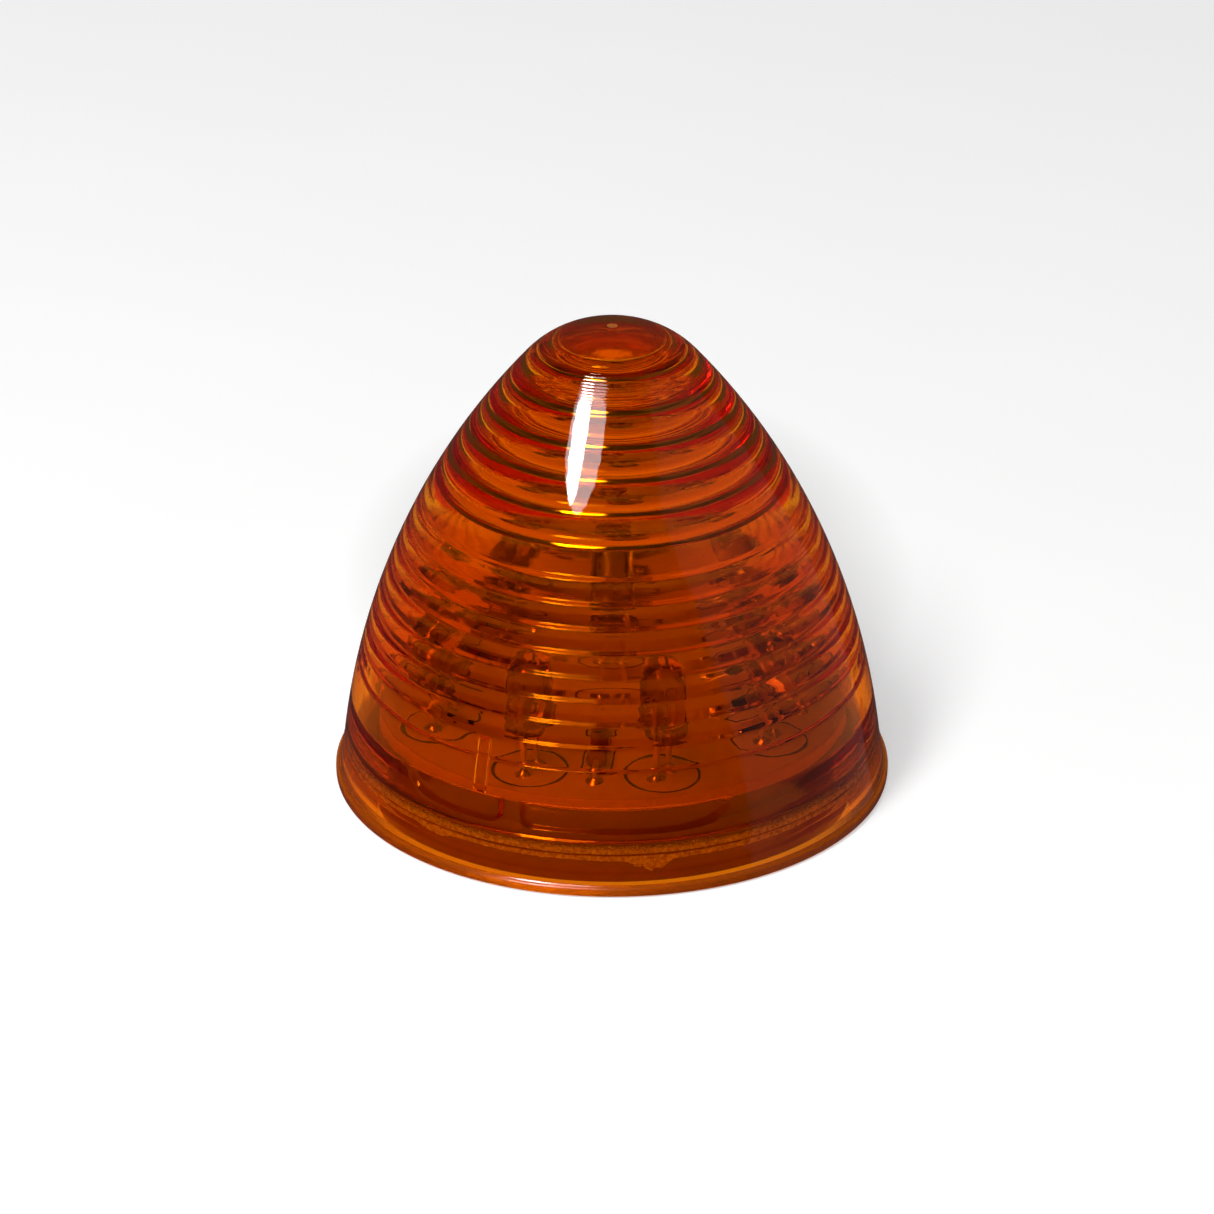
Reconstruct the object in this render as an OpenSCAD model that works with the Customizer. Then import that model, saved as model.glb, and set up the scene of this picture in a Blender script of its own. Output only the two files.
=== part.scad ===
// Sealed amber beehive marker lamp, 2 1/2 inch nominal: a stepped lens welded over a plug-in housing,
// with a round board of through-hole LEDs inside. Origin at the centre of the base lip's underside,
// +Z up through the apex. The front is -Y, and bearings are degrees from the front towards +X.

/* [Lens outside] */
// Diameter of the base lip, which a rubber grommet grips
lip_d = 63.5; // [63.1:0.1:63.9]
// Height of the lip's straight edge
lip_h = 0.95; // [0.8:0.05:1.1]
// Diameter of the dome where it leaves the lip's flare
dome_d = 61.6; // [61.3:0.1:61.8]
// Height where the dome leaves the flare
dome_z = 3.65; // [3.4:0.05:3.9]
// Radius of the dome's long side arc
side_r = 85.1; // [84.5:0.1:86]
// How far below the base the side arc's centre lies
side_drop = 5.8; // [5.5:0.1:6.1]
// Radius of the shoulder arc above the side arc
shoulder_r = 12.2; // [11.8:0.1:12.4]
// Slope angle where the side arc turns into the shoulder
shoulder_angle = 41.4; // [40.8:0.1:42]
// Slope angle where the shoulder turns into the crown
crown_angle = 76.3; // [75:0.1:77.5]

/* [Lens inside] */
// Thickness at the thin end of each stepped band, measured level
lens_wall = 1.7; // [1.6:0.05:1.8]
// Thickness of the crown over the flat ceiling
crown_wall = 1.9; // [1.8:0.05:2.1]
// Height of the lowest ring
first_ring_z = 15.7; // [15.4:0.1:16]
// Rise between the lower rings
low_pitch = 2.44; // [2.4:0.01:2.46]
// Rises between the lower rings
low_rises = 7; // [6:1:7]
// Rise between the upper rings
high_pitch = 3.09; // [2.95:0.01:3.1]
// Rises between the upper rings
high_rises = 6; // [5:1:6]
// Number of repeats of the hold-down rib and the locating tabs
lens_repeats = 3; // [2:1:3]
// Bearing of the first wall rib
rib_bearing = -30.6; // [-34:0.2:-28]
// Width of a wall rib
rib_w = 1.6; // [1.2:0.1:2]

/* [Housing] */
// Height of the weld between the housing and the lens
weld_z = 5.5; // [5.3:0.1:5.7]
// Gap from the lip's underside up to the housing's underside
housing_z = 0.6; // [0.4:0.1:0.8]
// Thickness of the housing's floor
floor_t = 2; // [1.6:0.1:2.2]
// Length of the plug socket
socket_l = 26; // [25:0.5:27]
// Width of the plug socket
socket_w = 13; // [12.6:0.1:13.4]
// Distance between the two terminal pins
pin_pitch = 12.7; // [12.4:0.1:13]
// Diameter of a terminal pin
pin_d = 4; // [3.8:0.1:4.2]

/* [Circuit board] */
// Diameter of the board
board_d = 53; // [52.6:0.1:53.2]
// Thickness of the board
board_t = 1.6; // [1.5:0.1:1.7]
// Height of the board's upper face
board_top = 9.5; // [9.4:0.05:9.6]

/* [LEDs] */
// Number of LEDs in the ring
ring_leds = 9; // [6:1:9]
// Radius of the ring of LEDs
led_ring_r = 21.2; // [20.8:0.1:21.4]
// Bearing of the first LED
led_bearing = 15; // [10:1:20]
// Direction of every LED's pair of leads, anticlockwise from +X
led_turn = 57; // [50:1:65]
// Height of a ring LED over the board
led_lift = 5.5; // [5:0.1:6]
// Height of the centre LED over the board
centre_led_lift = 8.3; // [7.5:0.1:9]

/* [Axial components] */
// Number of resistors
resistors = 3; // [2:1:3]
// Bearing of the first resistor
resistor_bearing = -5; // [-7:0.5:-3]
// Bearing of the polarity diode
diode_bearing = 75; // [73:0.5:77]
// Radius of the outer lead's hole
outer_hole_r = 22.1; // [21.8:0.1:22.3]
// Distance between the two lead holes
axial_pitch = 10.16; // [10:0.02:10.4]

/* [Hidden] */
$fn = 96;
bite = 0.3;                                     // how far joined shapes run into each other
shy = 0.08;                                     // how far ribs and tabs stay behind the wall above them
ledge = 0.3;                                    // width of the ledge under each sloping band
lip_r = lip_d / 2;
dome_r = dome_d / 2;
flare_top_r = lip_r - 0.45;

// Centres and radii of the three tangent arcs of the dome.
side_c = [dome_r - sqrt(pow(side_r, 2) - pow(dome_z + side_drop, 2)), -side_drop];
shoulder_c = side_c + (side_r - shoulder_r) * [cos(shoulder_angle), sin(shoulder_angle)];
crown_r = shoulder_r + shoulder_c.x / cos(crown_angle);
crown_c = [0, shoulder_c.y + (shoulder_r - crown_r) * sin(crown_angle)];
start_angle = asin((dome_z + side_drop) / side_r);
shoulder_z = side_c.y + side_r * sin(shoulder_angle);
crown_z = shoulder_c.y + shoulder_r * sin(crown_angle);
lens_h = crown_c.y + crown_r;

// Outer radius of the dome at height z.
function level_r(centre, radius, z) = centre.x + sqrt(pow(radius, 2) - pow(z - centre.y, 2));
function outer_r(z) = z < shoulder_z ? level_r(side_c, side_r, z)
    : z < crown_z ? level_r(shoulder_c, shoulder_r, z)
    : level_r(crown_c, crown_r, z);

// Points along an arc, from one slope angle to the other.
function arc_points(centre, radius, from, to, steps) =
    [for (i = [0:steps]) let (a = from + (to - from) * i / steps) centre + radius * [cos(a), sin(a)]];

// Heights of the rings, with the ceiling last. The bands between them follow the outside as far as the
// last sloping one, and stand upright above it.
last_low_z = first_ring_z + low_rises * low_pitch;
ceiling_z = lens_h - crown_wall;
ring_zs = concat([for (i = [0:low_rises]) first_ring_z + i * low_pitch],
    [for (i = [1:high_rises]) last_low_z + i * high_pitch], [ceiling_z]);
upper_rs = [for (i = [0:len(ring_zs) - 2]) outer_r(ring_zs[i + 1]) - lens_wall];
lower_rs = [for (i = [0:len(ring_zs) - 2])
    i > low_rises ? upper_rs[i] : outer_r(ring_zs[i]) - lens_wall - ledge];

tab_z = 6.5;
tab_top = 9.3;
bore_r = outer_r(first_ring_z) - lens_wall;     // inside of the wall at the first ring
relief_r = outer_r(tab_top) - lens_wall;        // bore between the sloping wall and the weld
seat_r = relief_r + 0.75;                       // bore that the housing sits in
tab_spans = [[-50, 25], [-20, 46.5]];           // bearing and width of each tab
board_bottom = board_top - board_t;

wall_r = seat_r - 0.2;                          // outside of the housing's rim
bead_z = 2.2;
bead_h = 3;
shelf_r = board_d / 2;                          // outside of the ring that carries the board
shelf_t = 1.8;
roof_t = 1;
socket_roof = 5.6;
socket_wall = 2;
pin_tip_z = 0.9;
shank_r = pin_d / 2 - 0.5;
collar_r = pin_d / 2 + 0.4;
collar_t = 0.3;
tail_r = 0.6;
tail_hole_r = 0.7;
tail_above = 0.8;                               // how far a tail stands over the board

led_r = 2.5;
led_rim_r = 2.9;
led_rim_h = 1;
led_barrel_h = 6.1;
led_pitch = 2.54;
lead_w = 0.5;
lead_hole_r = 0.5;
lead_below = 0.9;                               // how far a lead stands under the board

axial_lead_r = 0.3;
resistor_l = 6.3;
resistor_r = 1.15;
diode_l = 5.2;
diode_r = 1.35;

joint_r = 1;
joint_h = 0.7;
clear_r = 0.05;                                 // space between a lead and the solder around it

ring_step = 360 / ring_leds;
LEDS = ring_leds + 1;
LED_NAMES = [for (i = [1:LEDS]) str("led_", i)];
LEAD_NAMES = [for (i = [1:LEDS]) str("led_leads_", i)];
RESISTOR_NAMES = [for (i = [1:resistors]) str("resistor_", i)];
RESISTOR_LEAD_NAMES = [for (i = [1:resistors]) str("resistor_leads_", i)];
PIN_NAMES = ["terminal_pin_left", "terminal_pin_right"];

// Moves its children from the axis out to radius r at a bearing, with -Y pointing outwards.
module at_bearing(bearing, r = 0) {
    rotate([0, 0, bearing]) translate([0, -r, 0]) children();
}

// Places its children upright at LED i, with +X along its pair of leads. The last one is central.
module at_led(i) {
    on_ring = i < ring_leds;
    bearing = led_bearing + i * ring_step;
    r = on_ring ? led_ring_r : 0;
    turn = on_ring ? led_turn : 0;
    translate([r * sin(bearing), -r * cos(bearing), 0]) rotate([0, 0, turn]) children();
}

function led_base(i) = board_top + (i < ring_leds ? led_lift : centre_led_lift);

// Places its children at each end of an axial component that lies along a radius.
module at_axial_holes(bearing) {
    for (r = [outer_hole_r, outer_hole_r - axial_pitch]) at_bearing(bearing, r) children();
}

module at_every_axial_hole() {
    for (i = [0:resistors - 1]) at_axial_holes(resistor_bearing + i * 360 / resistors) children();
    at_axial_holes(diode_bearing) children();
}

module at_every_lead_hole() {
    for (i = [0:LEDS - 1], side = [-1, 1]) at_led(i) translate([side * led_pitch / 2, 0, 0]) children();
}

module at_pins() {
    for (side = [-1, 1]) translate([side * pin_pitch / 2, 0, 0]) children();
}

// A ring about the Z axis, from one height to another.
module ring(inner, outer, z0, z1) {
    rotate_extrude() translate([inner, z0]) square([outer - inner, z1 - z0]);
}

// A bar with round ends, standing on height z.
module slot_bar(l, w, z, h) {
    translate([0, 0, z]) {
        translate([-(l - w) / 2, -w / 2, 0]) cube([l - w, w, h]);
        for (side = [-1, 1]) translate([side * (l - w) / 2, 0, 0]) cylinder(h = h, d = w);
    }
}

// Half section of the lens, from the seat's foot round the outside and back down the rings.
module lens_section() {
    outside = concat([[seat_r, 0], [lip_r, 0], [lip_r, lip_h], [flare_top_r, lip_h + 0.3]],
        arc_points(side_c, side_r, start_angle, shoulder_angle, 36),
        arc_points(shoulder_c, shoulder_r, shoulder_angle, crown_angle, 10),
        arc_points(crown_c, crown_r, crown_angle, 90, 5));
    steps = [for (i = [len(upper_rs) - 1:-1:0], at_foot = [false, true])
        at_foot ? [lower_rs[i], ring_zs[i]] : [upper_rs[i], ring_zs[i + 1]]];
    foot = [[bore_r, first_ring_z], [relief_r, tab_top], [relief_r, weld_z], [seat_r, weld_z]];
    polygon(concat(outside, [[0, ceiling_z]], steps, foot));
}

// A thin rib down the wall, in line with the band above it.
module wall_rib() {
    depth = ledge - shy;
    top = first_ring_z + bite;
    rotate([90, 0, 90]) linear_extrude(rib_w, center = true)
        polygon([[-relief_r + depth, board_top], [-bore_r + depth, first_ring_z], [-bore_r + depth, top],
            [-bore_r - bite, top], [-relief_r - bite, board_top]]);
}

// A tab that keeps the board central.
module locating_tab(bearing, span) {
    rotate([0, 0, bearing - 90]) rotate_extrude(angle = span)
        translate([bore_r + shy, tab_z]) square([relief_r - bore_r + bite, tab_top - tab_z + shy]);
}

module lens() {
    color("darkorange", 0.6) {
        rotate_extrude($fn = 180) lens_section();
        for (i = [0:lens_repeats - 1]) rotate([0, 0, i * 360 / lens_repeats]) {
            at_bearing(rib_bearing) wall_rib();
            for (tab = tab_spans) locating_tab(tab[0], tab[1]);
        }
    }
}

// Adhesive band between the housing's rim and the lens.
module seal_bead() {
    color("orangered") ring(wall_r, seat_r, bead_z, bead_z + bead_h);
}

module base_housing() {
    socket_h = socket_roof - housing_z;
    color("dimgray") difference() {
        union() {
            ring(shelf_r - shelf_t, wall_r, housing_z, weld_z);
            ring(shelf_r - shelf_t, shelf_r, housing_z, board_bottom);
            translate([0, 0, housing_z]) cylinder(h = floor_t, r = shelf_r);
            slot_bar(socket_l + 2 * socket_wall, socket_w + 2 * socket_wall, housing_z, socket_h + roof_t);
        }
        slot_bar(socket_l, socket_w, housing_z - 1, socket_h + 1);
        at_pins() cylinder(h = board_bottom, r = shank_r);
    }
}

// Male terminal with a domed tip, a riveted collar over the roof and a tail through the board.
module terminal_pin() {
    tip_r = 0.6;
    pin_r = pin_d / 2;
    color("goldenrod") {
        rotate_extrude() difference() {
            translate([0, pin_tip_z]) square([pin_r, socket_roof - pin_tip_z]);
            polygon([[pin_r - tip_r, pin_tip_z - 1], [pin_r + 1, pin_tip_z - 1],
                [pin_r + 1, pin_tip_z + tip_r], [pin_r, pin_tip_z + tip_r], [pin_r - tip_r, pin_tip_z]]);
        }
        translate([0, 0, socket_roof - bite]) cylinder(h = roof_t + bite, r = shank_r);
        translate([0, 0, socket_roof + roof_t]) cylinder(h = collar_t, r = collar_r);
        translate([0, 0, socket_roof]) cylinder(h = board_top + tail_above - socket_roof, r = tail_r);
    }
}

// Sealant pooled round each terminal on the socket's roof.
module pin_sealant() {
    roof_top = socket_roof + roof_t;
    color("black") at_pins() ring(collar_r, collar_r + 1.6, roof_top, roof_top + collar_t);
}

module circuit_board() {
    color("ivory") difference() {
        translate([0, 0, board_bottom]) cylinder(h = board_t, d = board_d);
        translate([0, 0, board_bottom - 1]) {
            at_every_lead_hole() cylinder(h = board_t + 2, r = lead_hole_r);
            at_every_axial_hole() cylinder(h = board_t + 2, r = lead_hole_r);
            at_pins() cylinder(h = board_t + 2, r = tail_hole_r);
        }
    }
}

// Solder cones under the board round every lead, and on top of it round the terminal tails.
module solder_joints() {
    square_r = lead_w / sqrt(2) + 0.02;
    color("silver") {
        at_every_lead_hole() solder_cone(square_r, board_bottom - joint_h, 0);
        at_every_axial_hole() solder_cone(axial_lead_r + clear_r, board_bottom - joint_h, 0);
        at_every_axial_hole() solder_cone(axial_lead_r + clear_r, board_top, 0.5);
        at_pins() solder_cone(tail_r + clear_r, board_top, 0.5);
    }
}

// A cone on height z, point down where squat is 0, or a low cone point up where it is more.
module solder_cone(hole_r, z, squat) {
    tip_r = hole_r + 0.15;
    down = squat == 0;
    h = down ? joint_h : squat;
    rotate_extrude($fn = 32) polygon([[hole_r, z], [down ? tip_r : joint_r, z],
        [down ? joint_r : tip_r, z + h], [hole_r, z + h]]);
}

// The flags that both leads end in inside an LED: a cup on the left one, and a plain post.
module lead_frame() {
    half = led_pitch / 2;
    cup_x = -0.35;
    translate([0, lead_w / 2, 0]) rotate([90, 0, 0]) linear_extrude(lead_w) {
        polygon([[-half - 0.25, -1], [-half + 0.25, -1], [-half + 0.25, 1.6], [0.1, 2.6], [0.1, 3.8],
            [-0.9, 3.8], [-half - 0.25, 3]]);
        polygon([[half - 0.25, -1], [half + 0.25, -1], [half + 0.25, 3.6], [0.55, 4.3], [0.55, 3.2],
            [half - 0.25, 2.6]]);
    }
    difference() {
        translate([cup_x, 0, 3.6]) cylinder(h = 0.9, r1 = 0.5, r2 = 0.8, $fn = 32);
        translate([cup_x, 0, 4.1]) cylinder(h = 0.5, r1 = 0.25, r2 = 0.7, $fn = 32);
    }
}

module led(i) {
    color("lightyellow", 0.5) at_led(i) translate([0, 0, led_base(i)]) difference() {
        union() {
            cylinder(h = led_rim_h, r = led_rim_r, $fn = 64);
            cylinder(h = led_barrel_h, r = led_r, $fn = 64);
            translate([0, 0, led_barrel_h]) sphere(r = led_r, $fn = 64);
        }
        translate([-led_rim_r - 1, -led_rim_r, -1])
            cube([1 + led_rim_r - led_r, 2 * led_rim_r, led_rim_h + 1]);
        lead_frame();
    }
}

module led_leads(i) {
    foot_z = board_bottom - lead_below;
    color("lightgray") at_led(i) {
        translate([0, 0, led_base(i)]) lead_frame();
        for (side = [-1, 1]) translate([side * led_pitch / 2 - lead_w / 2, -lead_w / 2, foot_z])
            cube([lead_w, lead_w, led_base(i) - foot_z - 0.5]);
    }
}

// Barrel of an axial component that lies on the board along a radius.
module axial_body(bearing, l, r) {
    at_bearing(bearing, outer_hole_r - axial_pitch / 2) translate([0, l / 2, board_top + r])
        rotate([90, 0, 0]) difference() {
            cylinder(h = l, r = r, $fn = 48);
            translate([0, 0, -1]) cylinder(h = l + 2, r = axial_lead_r, $fn = 32);
        }
}

// The wire through an axial component, bent down through the board at both ends.
module axial_leads(bearing, r) {
    foot_z = board_bottom - lead_below;
    wire_z = board_top + r;
    at_axial_holes(bearing) {
        translate([0, 0, foot_z]) cylinder(h = wire_z - foot_z, r = axial_lead_r, $fn = 32);
        translate([0, 0, wire_z]) sphere(r = axial_lead_r, $fn = 32);
    }
    at_bearing(bearing, outer_hole_r) translate([0, axial_pitch, wire_z])
        rotate([90, 0, 0]) cylinder(h = axial_pitch, r = axial_lead_r, $fn = 32);
}

module resistor(i) {
    color("sienna") axial_body(resistor_bearing + i * 360 / resistors, resistor_l, resistor_r);
}

module resistor_leads(i) {
    color("lightgray") axial_leads(resistor_bearing + i * 360 / resistors, resistor_r);
}

module polarity_diode() {
    color("black") axial_body(diode_bearing, diode_l, diode_r);
}

module polarity_diode_leads() {
    color("lightgray") axial_leads(diode_bearing, diode_r);
}

lens();
seal_bead();
base_housing();
pin_sealant();
circuit_board();
solder_joints();
polarity_diode();
polarity_diode_leads();
for (side = [0, 1])
    translate([(side - 0.5) * pin_pitch, 0, 0]) terminal_pin();
for (i = [0:LEDS - 1]) {
    led(i);
    led_leads(i);
}
for (i = [0:resistors - 1]) {
    resistor(i);
    resistor_leads(i);
}
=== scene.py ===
import math
import random

import bmesh
import bpy
from mathutils import Matrix, Quaternion, Vector

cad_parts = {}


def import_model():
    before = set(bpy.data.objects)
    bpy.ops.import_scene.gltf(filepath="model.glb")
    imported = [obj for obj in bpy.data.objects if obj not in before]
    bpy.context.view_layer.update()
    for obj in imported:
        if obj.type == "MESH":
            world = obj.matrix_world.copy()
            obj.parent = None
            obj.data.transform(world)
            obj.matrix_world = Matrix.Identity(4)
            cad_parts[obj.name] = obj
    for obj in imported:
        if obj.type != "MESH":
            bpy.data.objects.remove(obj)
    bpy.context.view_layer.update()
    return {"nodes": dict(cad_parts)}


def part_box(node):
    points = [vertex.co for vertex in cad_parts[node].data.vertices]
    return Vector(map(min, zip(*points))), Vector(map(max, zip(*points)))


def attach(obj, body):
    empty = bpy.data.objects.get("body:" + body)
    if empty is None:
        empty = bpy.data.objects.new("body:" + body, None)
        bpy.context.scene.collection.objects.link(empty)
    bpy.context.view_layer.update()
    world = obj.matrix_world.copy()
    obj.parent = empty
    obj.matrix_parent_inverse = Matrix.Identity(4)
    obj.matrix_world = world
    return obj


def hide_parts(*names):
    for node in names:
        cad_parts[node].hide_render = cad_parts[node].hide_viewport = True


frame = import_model()

MM = 0.001
FRONT = -math.pi / 2            # polar angle of the -Y side, from which bearings are counted


# ---------------------------------------------------------------- sizes, in millimetres

LIP_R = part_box("lens")[1][0] / MM
LIP_H = 0.95
DOME_R = LIP_R - 0.95
DOME_Z = 3.65                   # where the flare over the lip meets the dome
SIDE_R, SIDE_DROP = 85.1, 5.8   # the side's arc, and how far below the lip its centre is
SHOULDER_R = 12.2
SHOULDER_ANGLE, CROWN_ANGLE = math.radians(41.4), math.radians(76.3)
GATE_MARK = ((0.6, 0), (0.52, 0.06), (0.38, 0.07), (0.25, 0.02), (0, 0))     # radii and drops from the crown
LENS_WALL, CROWN_WALL = 1.7, 1.9
CEILING_DOME = 1.0
FIRST_RING_Z = 15.7
LOW_PITCH, LOW_RISES = 2.44, 7
HIGH_PITCH, HIGH_RISES = 3.09, 6
WELD_Z = 5.5                    # the step on which the lens sits on the housing
REPEATS = 3                     # of the tabs, ribs and resistors round the lamp
REPEAT_DEG = 360 / REPEATS
TAB_Z, TAB_TOP, TAB_DEPTH = 6.5, 9.3, 0.45
TAB_SPANS = ((-50, 25), (-20, 46.5))                # start bearing and width of each tab, in degrees
RIB_BEARING, RIB_W, RIB_DEPTH = -30.6, 1.6, 0.45
DRAFT_Z, DRAFT_RIDGE = 13.4, 0.09                   # a fine ridge round the wall

BOARD_LO, BOARD_HI = (Vector(c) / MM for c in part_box("circuit_board"))
BOARD_TOP = BOARD_HI.z

RING_LEDS = 9
LED_RING_R = 21.2
LED_BEARING = 15
LED_TURN = math.radians(57)
LED_R, LED_RIM_R, LED_RIM_H, LED_BARREL_H = 2.5, 2.9, 1.0, 6.1
LEAD_PITCH, LEAD_W = 2.54, 0.5
OUTER_HOLE_R, AXIAL_PITCH = 22.1, 10.16
AXIAL_MIDDLE = -(OUTER_HOLE_R - AXIAL_PITCH / 2)
FIRST_RESISTOR_DEG = -5
RESISTOR_HALF_L = 3.15


# ---------------------------------------------------------------- the dome's outline

side_c = Vector((DOME_R - math.sqrt(SIDE_R ** 2 - (DOME_Z + SIDE_DROP) ** 2), -SIDE_DROP))
shoulder_c = side_c + (SIDE_R - SHOULDER_R) * Vector((math.cos(SHOULDER_ANGLE), math.sin(SHOULDER_ANGLE)))
CROWN_R = SHOULDER_R + shoulder_c.x / math.cos(CROWN_ANGLE)
crown_c = Vector((0, shoulder_c.y + (SHOULDER_R - CROWN_R) * math.sin(CROWN_ANGLE)))
START_ANGLE = math.asin((DOME_Z + SIDE_DROP) / SIDE_R)
SHOULDER_Z = side_c.y + SIDE_R * math.sin(SHOULDER_ANGLE)
CROWN_Z = shoulder_c.y + SHOULDER_R * math.sin(CROWN_ANGLE)
LENS_H = crown_c.y + CROWN_R


def outer_r(z):
    if z < SHOULDER_Z:
        centre, radius = side_c, SIDE_R
    elif z < CROWN_Z:
        centre, radius = shoulder_c, SHOULDER_R
    else:
        centre, radius = crown_c, CROWN_R
    return centre.x + math.sqrt(max(radius ** 2 - (z - centre.y) ** 2, 0))


def arc(centre, radius, start, end, steps):
    angles = [start + (end - start) * i / steps for i in range(steps + 1)]
    return [Vector((centre[0] + radius * math.cos(a), centre[1] + radius * math.sin(a))) for a in angles]


def rounded(points, radii, steps=4):
    """The closed outline with each corner rounded to about its radius, or kept where that is 0."""
    out = []
    count = len(points)
    for i, (p, radius) in enumerate(zip(points, radii)):
        if radius == 0:
            out.append(p)
            continue
        a, b = (points[i - 1] - p), (points[(i + 1) % count] - p)
        room = min(a.length, b.length) * 0.48
        a.normalize()
        b.normalize()
        half = math.acos(max(-1, min(1, a.dot(b)))) / 2
        back = min(radius / math.tan(half), room)
        for s in range(steps + 1):
            t = s / steps
            q = (1 - t) ** 2 * (p + a * back) + 2 * t * (1 - t) * p + t ** 2 * (p + b * back)
            out.append(q)
    return out


# ---------------------------------------------------------------- mesh helpers


def new_object(name, bm, material, smooth_angle=None):
    mesh = bpy.data.meshes.new(name)
    bmesh.ops.recalc_face_normals(bm, faces=bm.faces)
    bm.to_mesh(mesh)
    bm.free()
    mesh.materials.append(material)
    obj = bpy.data.objects.new(name, mesh)
    bpy.context.scene.collection.objects.link(obj)
    for poly in mesh.polygons:
        poly.use_smooth = True
    if smooth_angle is not None:
        mesh.set_sharp_from_angle(angle=math.radians(smooth_angle))
    return obj


def revolve(bm, outline, angles, shift=lambda i, angle, p: p, closed=True):
    """Turns an (r, z) outline about Z. shift moves point i of the outline at one angle."""
    columns = []
    for angle in angles:
        column = []
        for i, p in enumerate(outline):
            q = shift(i, angle, p)
            column.append(Vector((q[0] * math.cos(angle), q[0] * math.sin(angle), q[1])) * MM)
        columns.append(column)
    pole = {i for i, p in enumerate(outline) if p[0] < 1e-6}
    poles = {i: bm.verts.new(columns[0][i]) for i in pole}
    grid = [[poles[i] if i in pole else bm.verts.new(co) for i, co in enumerate(column)]
            for column in columns]
    last = len(outline) if closed else len(outline) - 1
    for j, column in enumerate(grid):
        following = grid[(j + 1) % len(grid)]
        for i in range(last):
            k = (i + 1) % len(outline)
            corners = [column[i], column[k], following[k], following[i]]
            unique = list(dict.fromkeys(corners))
            if len(unique) > 2:
                bm.faces.new(unique)


def even_angles(count):
    return [2 * math.pi * i / count for i in range(count)]


def smoothstep(x):
    x = max(0.0, min(1.0, x))
    return x * x * (3 - 2 * x)


# ---------------------------------------------------------------- material helpers


class Nodes:
    """A material being built from nodes, with its links written as calls."""

    def __init__(self, name):
        self.mat = bpy.data.materials.new(name)
        self.mat.use_nodes = True
        self.tree = self.mat.node_tree
        self.tree.nodes.clear()
        self.out = self.tree.nodes.new("ShaderNodeOutputMaterial")

    def add(self, kind, settings=None, **inputs):
        node = self.tree.nodes.new("ShaderNode" + kind)
        for key, value in (settings or {}).items():
            setattr(node, key, value)
        for key, value in inputs.items():
            self.put(node.inputs[key.replace("_", " ")], value)
        return node

    def put(self, socket, value):
        if isinstance(value, bpy.types.NodeSocket):
            self.tree.links.new(value, socket)
        else:
            socket.default_value = value

    def place(self, scale=1000.0):
        """Object coordinates, in millimetres."""
        coords = self.add("TexCoord").outputs["Object"]
        return self.add("VectorMath", {"operation": "SCALE"}, Vector=coords, Scale=scale).outputs["Vector"]

    def scaled(self, vector, factors):
        node = self.add("VectorMath", {"operation": "MULTIPLY"}, Vector=vector)
        node.inputs[1].default_value = factors
        return node.outputs["Vector"]

    def length(self, vector):
        return self.add("VectorMath", {"operation": "LENGTH"}, Vector=vector).outputs["Value"]

    def off_axis(self, place):
        """Distance from the Z axis."""
        return self.length(self.scaled(place, (1, 1, 0)))

    def along(self, place, axis):
        return self.add("SeparateXYZ", None, Vector=place).outputs[axis]

    def attribute(self, name):
        return self.add("Attribute", {"attribute_name": name}).outputs["Fac"]

    def noise(self, scale, detail=3.0, roughness=0.5, vector=None):
        vector = vector or self.place()
        return self.add("TexNoise", None, Vector=vector, Scale=scale, Detail=detail,
                        Roughness=roughness).outputs["Fac"]

    def ramp(self, value, low, high, start=0.0, end=1.0):
        """Maps value from start..end onto low..high."""
        node = self.add("MapRange", {"clamp": True}, Value=value)
        for key, number in zip(("From Min", "From Max", "To Min", "To Max"), (start, end, low, high)):
            node.inputs[key].default_value = number
        return node.outputs["Result"]

    def maths(self, operation, a, b):
        node = self.add("Math", {"operation": operation})
        self.put(node.inputs[0], a)
        self.put(node.inputs[1], b)
        return node.outputs[0]

    def times(self, a, b):
        return self.maths("MULTIPLY", a, b)

    def larger(self, a, b):
        return self.maths("MAXIMUM", a, b)

    def sum(self, a, b):
        return self.maths("ADD", a, b)

    def blend(self, amount, a, b):
        node = self.add("Mix", {"data_type": "RGBA"})
        self.put(node.inputs["Factor"], amount)
        self.put(node.inputs[6], a)
        self.put(node.inputs[7], b)
        return node.outputs[2]

    def bump(self, height, strength, distance):
        return self.add("Bump", None, Strength=strength, Distance=distance, Height=height).outputs["Normal"]

    def surface(self, **inputs):
        shader = self.tree.nodes.new("ShaderNodeBsdfPrincipled")
        for key, value in inputs.items():
            self.put(shader.inputs[key.replace("_", " ")], value)
        self.tree.links.new(shader.outputs[0], self.out.inputs["Surface"])
        return shader


# ---------------------------------------------------------------- materials

RED_LOSS, GREEN_LOSS, BLUE_LOSS = 6.0, 95.0, 500.0       # absorbed per metre of amber plastic
# The tint changes with height, though the plastic is one colour: the lower bands are redder and darker, the
# upper bands lighter and yellower, and the crown redder again. This is painted light and shade for how light
# runs through those parts.
LOW_DYE = (0.88, 0.27, 0.010, 1), (0.92, 0.30, 0.013, 1)
UPPER_TINT_PAINTED_LIGHT = (0.94, 0.44, 0.015, 1), (0.98, 0.48, 0.019, 1)
CROWN_TINT_PAINTED_SHADE = (0.98, 0.33, 0.012, 1)
RIPPLE_RATE = 24.0                                       # of the crown's turning marks, in radians per mm


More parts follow.
